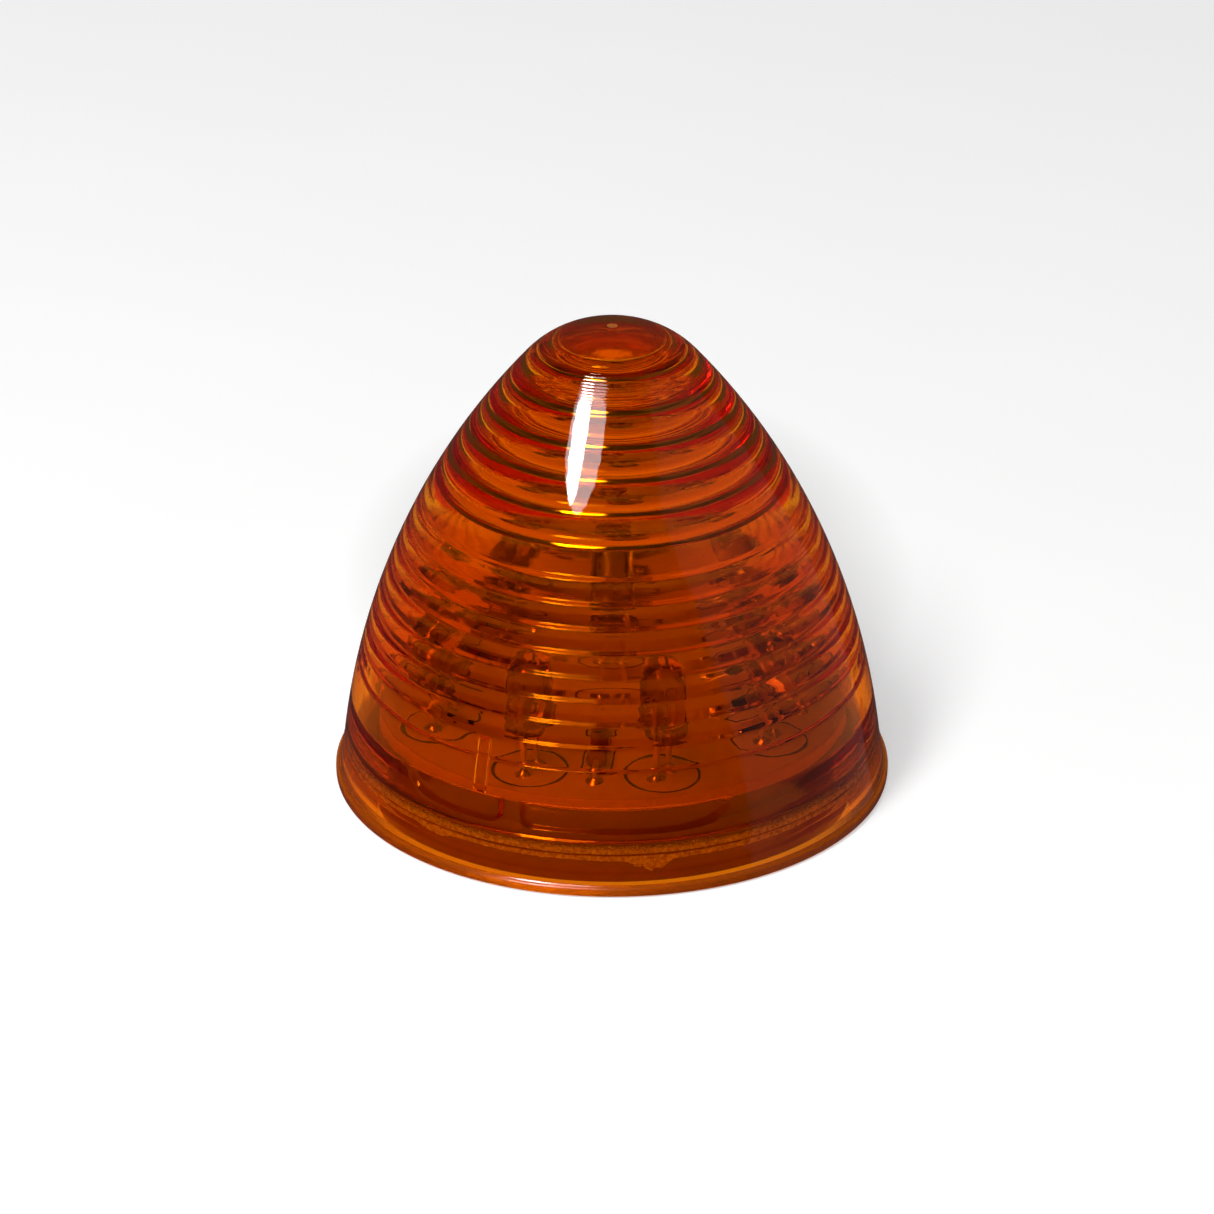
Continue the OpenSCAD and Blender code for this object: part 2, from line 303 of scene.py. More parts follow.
def amber_relief(m, place, height, waviness):
    """Normals of the lens: slow waves, turning marks round the crown and finer ones on the bands inside."""
    phase = m.sum(m.times(height, RIPPLE_RATE), m.times(waviness, 3.0))
    ripple = m.times(m.add("Math", {"operation": "SINE"}, Value=phase).outputs[0], 0.42)
    turning = m.noise(2.1, 2.0, 0.6, m.scaled(place, (0.03, 0.03, 1)))
    cut = m.times(m.times(turning, 0.5), m.attribute("band_marks"))
    turned = m.times(ripple, m.attribute("crown_marks"))
    broad = m.bump(waviness, 0.1, 0.0002)
    fine = m.add("Bump", None, Strength=1.0, Distance=0.00002, Height=m.sum(cut, turned), Normal=broad)
    return fine.outputs["Normal"]


def amber_roughness(m, height, grain, gate):
    """Polished, but for a matte lip and gate mark, the bands' draw marks and some dull patches."""
    lip = m.larger(m.ramp(height, 0.55, 0.0, 0.05, 0.3), m.ramp(height, 0.22, 0.0, 1.0, 1.3))
    matte = m.larger(lip, m.times(gate, 0.5))
    drawn = m.times(m.attribute("band_haze"), m.ramp(grain, 0.05, 0.1))
    return m.larger(m.larger(matte, drawn), m.ramp(grain, 0.0, 0.03, 0.4, 0.75))


def amber_plastic():
    m = Nodes("amber_plastic")
    place = m.place()
    height = m.along(place, "Z")
    waviness = m.noise(0.35, 2.0, 0.5, place)
    grain = m.noise(2.2, 3.0, 0.55, place)
    # painted light and shade by height: lower bands redder, upper bands yellower, crown redder
    tint_and_painted_light = m.blend(m.ramp(height, 0, 1, 30, 38), m.blend(waviness, *LOW_DYE), m.blend(waviness, *UPPER_TINT_PAINTED_LIGHT))
    tint_and_painted_light = m.blend(m.ramp(height, 0, 1, 52.4, 53.2), tint_and_painted_light, CROWN_TINT_PAINTED_SHADE)
    gate = m.times(m.ramp(m.off_axis(place), 1, 0, 0.5, 0.7), m.ramp(height, 0, 1, 54, 54.2))
    frost = m.times(gate, m.ramp(m.noise(3.0, 4.0, 0.7, place), 0, 1, 0.44, 0.62))
    m.surface(Base_Color=m.blend(frost, tint_and_painted_light, (0.85, 0.5, 0.16, 1)), IOR=1.585,
              Roughness=amber_roughness(m, height, grain, gate), Transmission_Weight=m.ramp(frost, 1.0, 0.45),
              Normal=amber_relief(m, place, height, waviness))
    tint = tuple(1 - loss / BLUE_LOSS for loss in (RED_LOSS, GREEN_LOSS, BLUE_LOSS)) + (1,)
    absorb = m.add("VolumeAbsorption", None, Color=tint, Density=BLUE_LOSS)
    m.tree.links.new(absorb.outputs[0], m.out.inputs["Volume"])
    return m.mat


def clear_epoxy():
    m = Nodes("clear_epoxy")
    cloud = m.noise(1.5, 2.0)
    # The grey tint darkens the water-clear bodies: painted shade for the dark seen in them.
    m.surface(Base_Color=m.blend(cloud, (0.52, 0.49, 0.44, 1), (0.60, 0.57, 0.52, 1)),
              Roughness=m.ramp(cloud, 0.02, 0.05), IOR=1.53, Transmission_Weight=1.0)
    return m.mat


def weld_plastic():
    m = Nodes("weld_plastic")
    place = m.place()
    flakes = m.noise(2.2, 7.0, 0.75, place)
    specks = m.noise(9.0, 2.0, 0.6, place)
    height = m.along(place, "Z")
    body = m.blend(m.ramp(flakes, 0, 1, 0.38, 0.62), (0.45, 0.27, 0.14, 1), (0.95, 0.8, 0.6, 1))
    top = m.blend(m.ramp(specks, 0, 1, 0.5, 0.62), (0.2, 0.12, 0.07, 1), (0.95, 0.85, 0.65, 1))
    colour = m.blend(m.ramp(height, 0, 1, 4.6, 5.0), body, top)
    m.surface(Base_Color=colour, Roughness=m.ramp(flakes, 0.35, 0.6), Normal=m.bump(flakes, 0.6, 0.0001))
    return m.mat


def housing_plastic():
    m = Nodes("housing_plastic")
    place = m.place()
    grain = m.noise(6.0, 4.0, 0.6, place)
    cloud = m.noise(0.25, 2.0, 0.5, place)
    colour = m.blend(cloud, (0.3, 0.26, 0.24, 1), (0.38, 0.33, 0.3, 1))
    m.surface(Base_Color=colour, Roughness=m.ramp(grain, 0.38, 0.6), Normal=m.bump(grain, 0.25, 0.00005))
    return m.mat


def board_mask():
    """White solder mask on both faces, and the bare glass epoxy round the edge."""
    m = Nodes("board_mask")
    place = m.place()
    cloud = m.noise(0.3, 3.0, 0.5, place)
    weave = m.noise(4.0, 2.0, 0.5, place)
    mask = m.blend(cloud, (0.76, 0.74, 0.68, 1), (0.86, 0.85, 0.8, 1))
    bare = m.blend(weave, (0.62, 0.5, 0.26, 1), (0.86, 0.76, 0.5, 1))
    edge = m.ramp(m.off_axis(place), 0, 1, BOARD_HI.x - 0.35, BOARD_HI.x - 0.3)
    m.surface(Base_Color=m.blend(edge, mask, bare), Roughness=m.ramp(weave, 0.25, 0.4),
              Normal=m.bump(weave, 0.1, 0.00003))
    return m.mat


RESISTOR_BANDS = ((-1.9, (0.5, 0.02, 0.02, 1)), (-0.8, (0.02, 0.02, 0.02, 1)), (0.3, (0.25, 0.1, 0.03, 1)),
                  (1.9, (0.75, 0.55, 0.15, 1)))         # position along the body, and colour


def resistor_lacquer():
    """Brown lacquer with plain rings of colour along the body, which lies along local Y."""
    m = Nodes("resistor_lacquer")
    place = m.place()
    cloud = m.noise(2.0, 3.0, 0.6, place)
    colour = m.blend(cloud, (0.24, 0.08, 0.035, 1), (0.36, 0.13, 0.055, 1))
    for middle, paint in RESISTOR_BANDS:
        off = m.add("Math", {"operation": "ABSOLUTE"}, Value=m.sum(m.along(place, "Y"), -middle)).outputs[0]
        colour = m.blend(m.ramp(off, 1, 0, 0.25, 0.3), colour, paint)
    m.surface(Base_Color=colour, Roughness=m.ramp(cloud, 0.25, 0.4), Normal=m.bump(cloud, 0.2, 0.00005))
    return m.mat


def metal(name, colour_a, colour_b, rough_low, rough_high, scale):
    m = Nodes(name)
    place = m.place()
    cloud = m.noise(scale, 4.0, 0.6, place)
    m.surface(Base_Color=m.blend(cloud, colour_a, colour_b), Metallic=1.0,
              Roughness=m.ramp(cloud, rough_low, rough_high), Normal=m.bump(cloud, 0.15, 0.00003))
    return m.mat


def lacquer(name, colour_a, colour_b, rough_low, rough_high):
    m = Nodes(name)
    place = m.place()
    cloud = m.noise(2.0, 3.0, 0.6, place)
    m.surface(Base_Color=m.blend(cloud, colour_a, colour_b), Roughness=m.ramp(cloud, rough_low, rough_high),
              Normal=m.bump(cloud, 0.2, 0.00005))
    return m.mat


MAT = {
    "amber": amber_plastic(),
    "epoxy": clear_epoxy(),
    "weld": weld_plastic(),
    "housing": housing_plastic(),
    "board": board_mask(),
    "solder": metal("solder", (0.62, 0.62, 0.64, 1), (0.78, 0.78, 0.8, 1), 0.18, 0.4, 2.5),
    "tinned": metal("tinned_wire", (0.78, 0.77, 0.74, 1), (0.92, 0.91, 0.89, 1), 0.3, 0.5, 2.0),
    "brass": metal("terminal_brass", (0.66, 0.44, 0.16, 1), (0.85, 0.64, 0.3, 1), 0.2, 0.38, 1.5),
    "resistor": resistor_lacquer(),
    "diode": lacquer("diode_epoxy", (0.02, 0.02, 0.02, 1), (0.035, 0.034, 0.033, 1), 0.4, 0.6),
    "sealant": lacquer("sealant", (0.012, 0.012, 0.013, 1), (0.025, 0.025, 0.026, 1), 0.3, 0.5),
    "ink": lacquer("silkscreen_ink", (0.02, 0.02, 0.02, 1), (0.05, 0.045, 0.04, 1), 0.5, 0.7),
}


# ---------------------------------------------------------------- lens

LAST_LOW_Z = FIRST_RING_Z + LOW_RISES * LOW_PITCH
CEILING_Z = LENS_H - CROWN_WALL
RING_ZS = ([FIRST_RING_Z + i * LOW_PITCH for i in range(LOW_RISES + 1)]
           + [LAST_LOW_Z + i * HIGH_PITCH for i in range(1, HIGH_RISES + 1)] + [CEILING_Z])
BAND_RS = [outer_r(z) - LENS_WALL for z in RING_ZS[1:]]
BORE_R = outer_r(FIRST_RING_Z) - LENS_WALL
RELIEF_R = outer_r(TAB_TOP) - LENS_WALL
SEAT_R = RELIEF_R + 0.75
LEDGE, OGEE_H, BULGE = 0.25, 0.68, 0.1          # of a sloping band: its foot's ledge, and its swell inwards
HIGH_FOOT = 0.9                                 # the rounded foot of an upright band, as a part of its ledge
CEILING_STEPS = 8
COLUMN_STEP, CLOSEST_COLUMNS = 3, 0.12          # in degrees


def ring_points(i):
    """Band i of the stepped inside, from the ring above it down over its rounded foot to its own ring."""
    top, foot = RING_ZS[i + 1], RING_ZS[i]
    wall = BAND_RS[i]
    if i <= LOW_RISES:
        return sloping_band(top, foot)
    ledge = (BAND_RS[i - 1] if i > LOW_RISES + 1 else outer_r(foot) - LENS_WALL) - wall
    across, down = ledge * HIGH_FOOT, min(ledge * HIGH_FOOT, (top - foot) * 0.8)
    corner = min(0.1, ledge * 0.12)
    points = [Vector((wall + corner, top)), Vector((wall + corner * 0.3, top - corner * 0.3)),
              Vector((wall, top - corner))]
    steps = 9
    for k in range(steps + 1):
        a = math.pi / 2 * k / steps
        points.append(Vector((wall + across * (1 - math.cos(a)), foot + down * (1 - math.sin(a)))))
    return points


def sloping_band(top, foot):
    """A band that follows the outside and swells inwards, then runs out in a low ogee to the next one."""
    turn = 1 - OGEE_H / (top - foot)
    steps = [turn * k / 5 for k in range(5)] + [turn + (1 - turn) * k / 7 for k in range(7)]
    points = []
    for t in steps:
        z = top + (foot - top) * t
        swell = BULGE * max(0, 4 * t / turn * (1 - t / turn))
        lean = LEDGE * (t - smoothstep((t - turn) / (1 - turn)))
        points.append(Vector((outer_r(z) - LENS_WALL - swell - lean, z)))
    return points


def wall_r(z):
    """Inside of the wall below the first ring: sloping down to the tabs' top, then straight."""
    return BORE_R + (RELIEF_R - BORE_R) * min((FIRST_RING_Z - z) / (FIRST_RING_Z - TAB_TOP), 1)


def wall_rows():
    """Heights of the rows between the first ring and the weld, closest where the wall has edges."""
    z, rows = FIRST_RING_Z - 0.1, []
    while z > WELD_Z + 0.3:
        rows.append(z)
        if abs(z - DRAFT_Z) < 0.3 or abs(z - TAB_TOP) < 0.35:
            z -= 0.07
        elif z > TAB_TOP:
            z -= 0.35
        else:
            z -= 0.16
    return rows


def lens_outline():
    """The (r, z) outline of the lens: up its outside, then down its stepped inside to the weld."""
    outside = [Vector(p) for p in ((SEAT_R, 0), (LIP_R, 0), (LIP_R, LIP_H), (LIP_R - 0.45, LIP_H + 0.25),
                                   (DOME_R + 0.07, DOME_Z - 0.12))]
    radii = [0.1, 0.25, 0.25, 0.7, 0.05]
    dome = (arc(side_c, SIDE_R, START_ANGLE, SHOULDER_ANGLE, 28)
            + arc(shoulder_c, SHOULDER_R, SHOULDER_ANGLE, CROWN_ANGLE, 12)[1:]
            + arc(crown_c, CROWN_R, CROWN_ANGLE, math.pi / 2, 6)[1:])
    dome[-1:] = [Vector((r, crown_c.y + math.sqrt(CROWN_R ** 2 - r * r) - drop)) for r, drop in GATE_MARK]
    outside += dome
    radii += [0] * len(dome)
    ceiling_r = BAND_RS[-1] + 0.1
    shares = [k / CEILING_STEPS for k in range(CEILING_STEPS)]
    inside = [Vector((ceiling_r * t, CEILING_Z + CEILING_DOME * (1 - t ** 2))) for t in shares]
    for i in reversed(range(len(BAND_RS))):
        inside += ring_points(i)
    inside += [Vector((wall_r(z), z)) for z in wall_rows()]
    foot = [Vector((RELIEF_R, WELD_Z)), Vector((SEAT_R, WELD_Z))]
    return rounded(outside + inside + foot, radii + [0] * len(inside) + [0.05, 0.1])


def edges_near(bearings, reach, step):
    """Bearings close to each given one, so that an edge there is drawn sharply."""
    steps = int(reach / step)
    return [b + k * step for b in bearings for k in range(-steps, steps + 1)]


def lens_bearings():
    """Bearings of the lens's columns: every few degrees, and closer at the edges of tabs and ribs."""
    turns = [REPEAT_DEG * k for k in range(REPEATS)]
    edges = [edge + turn for turn in turns for start, span in TAB_SPANS for edge in (start, start + span)]
    ribs = [RIB_BEARING + turn for turn in turns]
    rib_half = math.degrees(RIB_W / 2 / BORE_R)
    extra = edges_near(edges, 3.0, 0.6)
    extra += edges_near([r + side * rib_half for r in ribs for side in (-1, 1)], 0.9, 0.18)
    plain = range(0, 360, COLUMN_STEP)
    wanted = sorted({round(b % 360, 3) for b in [*extra, *plain]})
    kept = [wanted[0]]
    for b in wanted[1:]:
        if b - kept[-1] > CLOSEST_COLUMNS:
            kept.append(b)
    return kept


def off_repeat(bearing, middle):
    """Degrees from the nearest repeat of middle."""
    return (bearing - middle + REPEAT_DEG / 2) % REPEAT_DEG - REPEAT_DEG / 2


def tab_distance(bearing, z):
    """Distance in mm inside the outline of the nearest tab, negative outside it.

    Each tab's lower corner is tight beside the gap between the two, and long at its other end."""
    best = -math.inf
    for (start, span), outer_side in zip(TAB_SPANS, (-1, 1)):
        off = off_repeat(bearing, start + span / 2)
        long = off * outer_side > 0
        wide, high = (6.0, 2.7) if long else (1.3, 1.3)
        across = math.radians(abs(off)) * BORE_R
        half = math.radians(span / 2) * BORE_R
        dx, dz = (across - (half - wide)) / wide, ((TAB_Z + high) - z) / high
        if dx > 0 and dz > 0:
            inside = (1 - math.hypot(dx, dz)) * high
        else:
            inside = min((1 - dx) * wide, (1 - dz) * high)
        best = max(best, inside)
    return best


def lens_inner_r(bearing, z):
    """Inner radius of the lens between the weld and the first ring."""
    radius = wall_r(z) - DRAFT_RIDGE * math.exp(-((z - DRAFT_Z) / DRAFT_RIDGE) ** 2)
    tab = smoothstep(tab_distance(bearing, z) / 0.6 + 0.5) * smoothstep((TAB_TOP - z) / 0.3 + 0.5)
    radius += (max(BORE_R + 0.08, radius - TAB_DEPTH) - radius) * tab
    across = abs(math.radians(off_repeat(bearing, RIB_BEARING))) * BORE_R
    foot = BOARD_TOP + 0.05
    reach = min(RIB_W / 2 - across, (z - foot) + 0.35 - across * 0.3)
    return radius - RIB_DEPTH * smoothstep(reach / 0.22)


def lens():
    outline = lens_outline()
    low, high = WELD_Z + 0.25, FIRST_RING_Z - 0.25

    def shift(i, angle, p):
        on_bore = low < p[1] < high and abs(p[0] - wall_r(p[1])) < 0.02
        if not on_bore:
            return p
        return (lens_inner_r(math.degrees(angle - FRONT), p[1]), p[1])

    bm = bmesh.new()
    revolve(bm, outline, [FRONT + math.radians(b) for b in lens_bearings()], shift)
    obj = new_object("amber_lens", bm, MAT["amber"], 60)
    mark_lens(obj.data)
    return obj


def mark_lens(mesh):
    """Attributes that say where the lens has its turning marks, outside and inside, and its haze."""
    marks = []
    for vertex in mesh.vertices:
        p = vertex.co / MM
        if math.hypot(p.x, p.y) > outer_r(min(p.z, LENS_H - 0.001)) - 0.3:
            marks.append((smoothstep((p.z - 49.6) / 0.8) * smoothstep((52.6 - p.z) / 0.5), 0.0, 0.0))
        else:
            bands = smoothstep((p.z - 24) / 6) * smoothstep((40 - p.z) / 3)
            marks.append((0.0, bands, smoothstep((p.z - 17) / 6)))
    for name, values in zip(("crown_marks", "band_marks", "band_haze"), zip(*marks)):
        mesh.attributes.new(name, "FLOAT", "POINT").data.foreach_set("value", values)


# ---------------------------------------------------------------- weld band


def ragged(rng, count, sizes):
    """A closed run of heights, made of bumps of several lengths; sizes holds (steps, height) pairs."""
    run = [0.0] * count
    for steps, height in sizes:
        knots = [height * rng.random() for _ in range(count // steps)]
        for k in range(count):
            a, t = k // steps, smoothstep(k % steps / steps)
            run[k] += knots[a % len(knots)] * (1 - t) + knots[(a + 1) % len(knots)] * t
    return run


def weld_band():
    """The adhesive between the housing and the lens: an upper and a lower run, flaking off downwards."""
    rng = random.Random(7)
    count = 720
    roughness = (((30, 0.2), (5, 0.16), (1, 0.14)), ((40, 0.1), (8, 0.06)),
                 ((60, 0.12), (9, 0.08)), ((40, 0.12), (6, 0.12), (1, 0.1)))
    rough = [ragged(rng, count, sizes) for sizes in roughness]
    flakes = ((8, 6, 1.0), (65, 5, 0.8), (118, 9, 1.1), (171, 4, 0.7), (215, 8, 1.2), (262, 5, 0.9),
              (318, 6, 0.6))        # bearing, half width and depth of each loose flake
    runs = ((5.35, 4.2, rough[0], rough[1], ()), (3.95, 3.45, rough[2], rough[3], flakes))
    bm = bmesh.new()
    for high, low, top, under, hanging in runs:

        def shift(i, angle, p):
            k = round(angle / (2 * math.pi) * count) % count
            bearing = math.degrees(angle - FRONT)
            loose = 0
            for middle, half, depth in hanging:
                off = abs((bearing - middle + 180) % 360 - 180)
                hang = 0.25 + 3.5 * under[k] * (1 - off / half)
                loose = max(loose, depth * smoothstep((half - off) / half * 2) * hang)
            ends = (low - under[k] - loose, high - top[k])
            return (p[0], ends[0] + (ends[1] - ends[0]) * p[1])

        outline = [Vector((SEAT_R - 0.15, 0)), Vector((SEAT_R + 0.03, 0)), Vector((SEAT_R + 0.03, 1)),
                   Vector((SEAT_R - 0.15, 1))]
        revolve(bm, outline, even_angles(count), shift)
    return new_object("weld_band", bm, MAT["weld"], 40)


# ---------------------------------------------------------------- LEDs


def led_place(i):
    """Puts LED i, made about the origin with its two leads along X, in its place over the board."""
    if i < RING_LEDS:
        angle = FRONT + math.radians(LED_BEARING + i * 360 / RING_LEDS)
        spot = Vector((LED_RING_R * math.cos(angle), LED_RING_R * math.sin(angle), 0))
        turn = LED_TURN
    else:
        spot, turn = Vector((0, 0, 0)), 0.0
    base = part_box(f"led_{i + 1}")[0].z
    return Matrix.Translation(spot * MM + Vector((0, 0, base))) @ Matrix.Rotation(turn, 4, "Z")


def led_body(i):
    dome = arc((0, LED_BARREL_H), LED_R, 0, math.pi / 2, 12)
    dome[-1].x = 0
    outline = [Vector((0, 0)), Vector((LED_RIM_R, 0)), Vector((LED_RIM_R, LED_RIM_H)),
               Vector((LED_R, LED_RIM_H))] + dome
    outline = rounded(outline, [0, 0.15, 0.15, 0.2] + [0] * len(dome), 3)
    flat = LED_R + 0.02

    def shift(_, angle, p):
        limit = flat / max(-math.cos(angle), 1e-6) if math.cos(angle) < 0 else math.inf
        return (min(p[0], max(limit, LED_R)), p[1])

    bm = bmesh.new()
    revolve(bm, outline, even_angles(64), shift, closed=False)
    bmesh.ops.transform(bm, matrix=led_place(i), verts=bm.verts)
    return new_object(f"led_body_{i + 1}", bm, MAT["epoxy"], 50)


def plate(bm, outline, thickness):
    """An upright plate in the XZ plane, centred on Y."""
    front = [bm.verts.new(Vector((x, -thickness / 2, z)) * MM) for x, z in outline]
    back = [bm.verts.new(Vector((x, thickness / 2, z)) * MM) for x, z in outline]
    bm.faces.new(front)
    bm.faces.new(list(reversed(back)))
    for k in range(len(outline)):
        n = (k + 1) % len(outline)
        bm.faces.new([front[n], front[k], back[k], back[n]])


def led_leads(i):
    half, w = LEAD_PITCH / 2, LEAD_W / 2
    foot = (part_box(f"led_leads_{i + 1}")[0].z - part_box(f"led_{i + 1}")[0].z) / MM
    stop = foot + 4.6           # from here up, each lead is a little wider
    bm = bmesh.new()
    plate(bm, [(-half - w, foot), (-half + w, foot), (-half + w, stop), (-half + w + 0.1, stop + 0.2),
               (-half + w + 0.1, stop + 1.4), (-half + w, stop + 1.6), (-half + w, 1.6), (0.1, 2.6),
               (0.1, 3.6), (-0.9, 3.6), (-half - w, 3)], LEAD_W)
    plate(bm, [(half - w, foot), (half + w, foot), (half + w, 3.6), (0.55, 4.3), (0.55, 3.2),
               (half - w, 2.6), (half - w, stop + 1.6), (half - w - 0.1, stop + 1.4),
               (half - w - 0.1, stop + 0.2), (half - w, stop)], LEAD_W)
    bmesh.ops.bevel(bm, geom=list(bm.edges), offset=0.05 * MM, segments=2, affect="EDGES")
    cup = [Vector(p) for p in ((0, 3.5), (0.5, 3.5), (0.8, 4.5), (0.7, 4.5), (0.25, 4.0), (0, 4.0))]
    before = set(bm.verts)
    revolve(bm, rounded(cup, [0, 0.05, 0.04, 0.04, 0.05, 0], 2), even_angles(28), closed=False)
    bmesh.ops.translate(bm, vec=Vector((-0.35, 0, 0)) * MM, verts=[v for v in bm.verts if v not in before])
    bmesh.ops.transform(bm, matrix=led_place(i), verts=bm.verts)
    return new_object(f"led_frame_{i + 1}", bm, MAT["tinned"], 40)


# ---------------------------------------------------------------- board, solder and resistors


def board():
    outline = [Vector(p) for p in ((0, BOARD_LO.z), (BOARD_HI.x, BOARD_LO.z), (BOARD_HI.x, BOARD_HI.z),
                                   (0, BOARD_HI.z))]
    bm = bmesh.new()
    revolve(bm, rounded(outline, [0, 0.12, 0.12, 0], 3), even_angles(180), closed=False)
    return new_object("board", bm, MAT["board"], 40)


def blob(bm, rng, place, x, y, radius, height):
    """A low, uneven cone of solder that has wetted a lead."""
    lobes, count = 6, 24
    swell = [rng.uniform(0.85, 1.2) for _ in range(lobes)]
    profile = [(1.0, 0.02), (0.72, 0.2), (0.45, 0.55), (0.3, 1.0)]      # shares of the radius and height
    rings = []
    for share, rise in profile:
        ring = []
        for k in range(count):
            a = 2 * math.pi * k / count
            lobe, t = divmod(k * lobes / count, 1)
            uneven = swell[int(lobe)] * (1 - t) + swell[(int(lobe) + 1) % lobes] * t
            r = radius * share * (1 + (uneven - 1) * share)
            spot = Vector((x + r * math.cos(a), y + r * math.sin(a), 0)) * MM
            ring.append(bm.verts.new(place @ spot + Vector((0, 0, height * rise * MM))))
        rings.append(ring)
    for lower, upper in zip(rings, rings[1:]):
        for k in range(count):
            n = (k + 1) % count
            bm.faces.new([lower[k], lower[n], upper[n], upper[k]])
    bm.faces.new(rings[-1])


def top_solder():
    """Solder that has risen through the LED holes and stands round the leads."""
    rng = random.Random(11)
    bm = bmesh.new()
    for i in range(RING_LEDS + 1):
        place = led_place(i)
        place.translation.z = BOARD_TOP * MM
        for side in (-1, 1):
            blob(bm, rng, place, side * LEAD_PITCH / 2, 0, rng.uniform(0.9, 1.15), rng.uniform(0.5, 0.8))
    return new_object("top_solder", bm, MAT["solder"], 50)


def resistor_turn(k):
    return Matrix.Rotation(math.radians(FIRST_RESISTOR_DEG + REPEAT_DEG * k), 4, "Z")


def resistor(k):
    """The body's ends swell over the caps; it lies along its own Y."""
    lo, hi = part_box(f"resistor_{k + 1}")
    half, radius = RESISTOR_HALF_L, (hi.z - lo.z) / MM / 2
    waist = radius * 0.84
    outline = [Vector(p) for p in ((0, -half), (radius * 0.8, -half), (radius, -half + 0.45),
                                   (radius, -half + 1.2), (waist, -half + 1.9), (waist, half - 1.9),
                                   (radius, half - 1.2), (radius, half - 0.45), (radius * 0.8, half),
                                   (0, half))]
    bm = bmesh.new()
    outline = rounded(outline, [0, 0.3, 0.4, 0.4, 0.5, 0.5, 0.4, 0.4, 0.3, 0])
    revolve(bm, outline, even_angles(48), closed=False)
    bmesh.ops.rotate(bm, verts=bm.verts, matrix=Matrix.Rotation(math.radians(-90), 3, "X"))
    obj = new_object(f"resistor_body_{k + 1}", bm, MAT["resistor"], 50)
    middle = Vector((0, AXIAL_MIDDLE * MM, (lo.z + hi.z) / 2))
    obj.matrix_world = resistor_turn(k) @ Matrix.Translation(middle)
    return obj


# ---------------------------------------------------------------- silkscreen


def ink_ring(bm, rng, centre, radius, width, height):
    """A printed circle of uneven line width."""
    lobes, count = 16, 96
    swell = [rng.uniform(0.55, 1.35) for _ in range(lobes)]
    rows = []
    for k in range(count):
        lobe, t = divmod(k * lobes / count, 1)
        half = width / 2 * (swell[int(lobe)] * (1 - t) + swell[(int(lobe) + 1) % lobes] * t)
        a = 2 * math.pi * k / count
        rows.append([bm.verts.new(centre + Vector((r * math.cos(a), r * math.sin(a), BOARD_TOP + h)) * MM)
                     for r, h in ((radius - half, 0), (radius + half, 0), (radius + half, height),
                                  (radius - half, height))])
    for k, row in enumerate(rows):
        after = rows[(k + 1) % len(rows)]
        for j in range(4):
            n = (j + 1) % 4
            bm.faces.new([row[j], after[j], after[n], row[n]])


def ink_bar(bm, place, x0, x1, y0, y1, height):
    size = Vector((x1 - x0, y1 - y0, height)) * MM
    middle = Vector(((x0 + x1) / 2, (y0 + y1) / 2, BOARD_TOP + height / 2)) * MM
    made = bmesh.ops.create_cube(bm, size=1.0)
    bmesh.ops.scale(bm, vec=size, verts=made["verts"])
    bmesh.ops.translate(bm, vec=middle, verts=made["verts"])
    bmesh.ops.transform(bm, matrix=place, verts=made["verts"])


def silkscreen():
    height, width = 0.03, 0.22
    rng = random.Random(5)
    bm = bmesh.new()
    for i in range(RING_LEDS + 1):
        place = led_place(i)
        ink_ring(bm, rng, Vector((place.translation.x, place.translation.y, 0)), 4.05, 0.3, height)
    half_l, half_w = RESISTOR_HALF_L + 0.35, 1.65
    for k in range(REPEATS):
        turn = resistor_turn(k)
        for side in (-1, 1):
            ink_bar(bm, turn, side * half_w - width / 2, side * half_w + width / 2, AXIAL_MIDDLE - half_l,
                    AXIAL_MIDDLE + half_l, height)
            ink_bar(bm, turn, -half_w, half_w, AXIAL_MIDDLE + side * half_l - width / 2,
                    AXIAL_MIDDLE + side * half_l + width / 2, height)
    return new_object("silkscreen", bm, MAT["ink"], 30)


# ---------------------------------------------------------------- assembly


def adopt(piece, node):
    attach(piece, "root")
    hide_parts(node)


adopt(lens(), "lens")
adopt(weld_band(), "seal_bead")
for n in range(RING_LEDS + 1):
    adopt(led_body(n), f"led_{n + 1}")
    adopt(led_leads(n), f"led_leads_{n + 1}")
adopt(board(), "circuit_board")
for n in range(REPEATS):
    adopt(resistor(n), f"resistor_{n + 1}")
extra = top_solder()
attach(extra, "root")
marks = silkscreen()
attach(marks, "root")

FINISHES = {"base_housing": "housing", "pin_sealant": "sealant",
            "solder_joints": "solder", "polarity_diode": "diode", "polarity_diode_leads": "tinned",
            "terminal_pin_left": "brass", "terminal_pin_right": "brass"}
for n in range(1, 4):
    FINISHES[f"resistor_leads_{n}"] = "tinned"
for node, finish in FINISHES.items():
    for holder in frame["nodes"][node].material_slots:
        holder.material = MAT[finish]


# ---------------------------------------------------------------- floor, lights and camera


SHADOW_MIDDLE, SHADOW_REACH = (2, 52, 0), (31, 50)       # of the painted soft shadow on the floor, in mm


